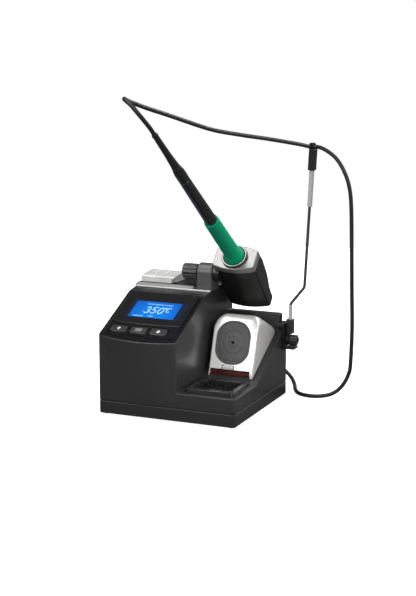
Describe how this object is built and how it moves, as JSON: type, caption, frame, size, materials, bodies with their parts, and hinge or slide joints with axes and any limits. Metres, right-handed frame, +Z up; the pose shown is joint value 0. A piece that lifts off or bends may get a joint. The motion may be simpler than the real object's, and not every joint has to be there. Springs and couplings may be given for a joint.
{
  "type": "soldering iron station",
  "caption": "Compact soldering station with sloped display panel, tilting tool stand, resting iron on a cord, tip cleaner, sponge tray and a sliding cable arm.",
  "frame": {"origin": "centre of the case's footprint, on the plane the feet rest on", "axes": "+X to the right, +Y to the back, +Z up; the control panel faces -Y"},
  "size_m": [0.2236, 0.326, 0.333],
  "materials": {
    "case_plastic": "fine matt texture",
    "black_plastic": "satin",
    "window_gloss": "gloss",
    "key_plastic": "satin",
    "rubber_black": "matt",
    "handle_plastic": "satin",
    "grip_foam": "soft matt",
    "silver_plastic": "satin silver",
    "bare_steel": "plain",
    "tip_metal": "tinned",
    "copper_wire": "enamelled",
    "circuit_board": "solder mask",
    "part_black": "plain",
    "heatsink_alu": "extruded",
    "screen_blue": "lit screen",
    "earth_green": "plain",
    "tray_red": "dark red",
    "brass_wool": "wire",
    "wiper_dark": "matt"
  },
  "bodies": {
    "base": {"upper_case": "case_plastic", "base_tray": "case_plastic", "rubber_feet": "rubber_black", "base_screws": "bare_steel", "rear_panel": "bare_steel", "mains_inlet": "black_plastic", "switch_frame": "black_plastic", "earth_socket": "earth_green", "data_socket": "black_plastic", "tool_socket": "bare_steel", "tool_plug": "black_plastic", "ballast_plate": "bare_steel", "transformer_core": "bare_steel", "transformer_winding": "copper_wire", "main_board": "circuit_board", "board_parts": "part_black", "heatsink": "heatsink_alu", "display_board": "circuit_board", "display_module": "screen_blue", "control_bezel": "black_plastic", "display_window": "window_gloss", "key_mat": "rubber_black", "top_trim": "silver_plastic", "changer_pad": "black_plastic", "changer_block": "silver_plastic", "stand_ear": "case_plastic", "pivot_bolt": "bare_steel", "cleaner_tray": "tray_red", "cleaner_wool": "brass_wool", "arm_bracket": "black_plastic", "arm_pin": "bare_steel", "cord_tool": "rubber_black", "cord_drop": "rubber_black"},
    "tool": {"grip_sleeve": "grip_foam", "handle_body": "handle_plastic", "handle_relief": "rubber_black", "nose_collar": "bare_steel", "cartridge_shaft": "bare_steel", "soldering_tip": "tip_metal"},
    "stand": {"stand_shroud": "black_plastic", "stand_cap": "silver_plastic", "stand_ring": "silver_plastic", "stand_liner": "handle_plastic"},
    "tilt_knob": {"tilt_knob": "black_plastic"},
    "key_up": {"key_up": "key_plastic"},
    "key_select": {"key_select": "key_plastic"},
    "key_down": {"key_down": "key_plastic"},
    "cleaner": {"cleaner_cover": "silver_plastic", "cleaner_membrane": "rubber_black"},
    "latch": {"cleaner_latch": "silver_plastic"},
    "wiper": {"wiper_tray": "black_plastic", "wiper_insert": "wiper_dark"},
    "cable_arm": {"arm_fork": "case_plastic", "arm_rod": "bare_steel"},
    "arm_slider": {"arm_tube": "bare_steel", "cable_clip": "black_plastic"},
    "arm_knob": {"arm_knob": "black_plastic"},
    "rocker": {"mains_rocker": "black_plastic"},
    "fuse": {"fuse_drawer": "black_plastic"}
  },
  "joints": [
    {"name": "stand_tilt", "type": "hinge", "parent": "base", "child": "stand", "pos_m": [0.014, 0.024, 0.1365], "axis": [1, 0, 0], "range_deg": [-8, 10]},
    {"name": "tilt_knob_turn", "type": "hinge", "parent": "base", "child": "tilt_knob", "pos_m": [-0.014, 0.024, 0.1365], "axis": [1, 0, 0], "continuous": true},
    {"name": "tool_draw", "type": "slide", "parent": "stand", "child": "tool", "axis": [0, -0.8039, 0.5948], "range_m": [0, 0.075], "deforming": ["cord_tool"]},
    {"name": "key_up_press", "type": "slide", "parent": "base", "child": "key_up", "axis": [0, 0.4067, -0.9135], "range_m": [0, 0.0012], "stiffness_N_per_m": 300, "springref_m": -0.0004},
    {"name": "key_select_press", "type": "slide", "parent": "base", "child": "key_select", "axis": [0, 0.4067, -0.9135], "range_m": [0, 0.0012], "stiffness_N_per_m": 300, "springref_m": -0.0004},
    {"name": "key_down_press", "type": "slide", "parent": "base", "child": "key_down", "axis": [0, 0.4067, -0.9135], "range_m": [0, 0.0012], "stiffness_N_per_m": 300, "springref_m": -0.0004},
    {"name": "cleaner_lift", "type": "slide", "parent": "base", "child": "cleaner", "axis": [0, -0.4848, 0.8746], "range_m": [0, 0.03]},
    {"name": "latch_press", "type": "slide", "parent": "cleaner", "child": "latch", "axis": [0, 1, 0], "range_m": [0, 0.0015], "stiffness_N_per_m": 300},
    {"name": "wiper_lift", "type": "slide", "parent": "base", "child": "wiper", "axis": [0, 0, 1], "range_m": [0, 0.018]},
    {"name": "arm_tilt", "type": "hinge", "parent": "base", "child": "cable_arm", "pos_m": [0.0785, 0.068, 0.0615], "axis": [1, 0, 0], "range_deg": [-20, 20], "deforming": ["cord_drop"]},
    {"name": "arm_extend", "type": "slide", "parent": "cable_arm", "child": "arm_slider", "axis": [0.0523, 0, 0.9986], "range_m": [-0.018, 0.01]},
    {"name": "arm_knob_turn", "type": "hinge", "parent": "base", "child": "arm_knob", "pos_m": [0.084, 0.068, 0.0615], "axis": [1, 0, 0], "continuous": true},
    {"name": "rocker_toggle", "type": "hinge", "parent": "base", "child": "rocker", "pos_m": [-0.0075, 0.066, 0.035], "axis": [-1, 0, 0], "range_deg": [0, 10]},
    {"name": "fuse_slide", "type": "slide", "parent": "base", "child": "fuse", "axis": [0, 1, 0], "range_m": [0, 0.012]}
  ]
}
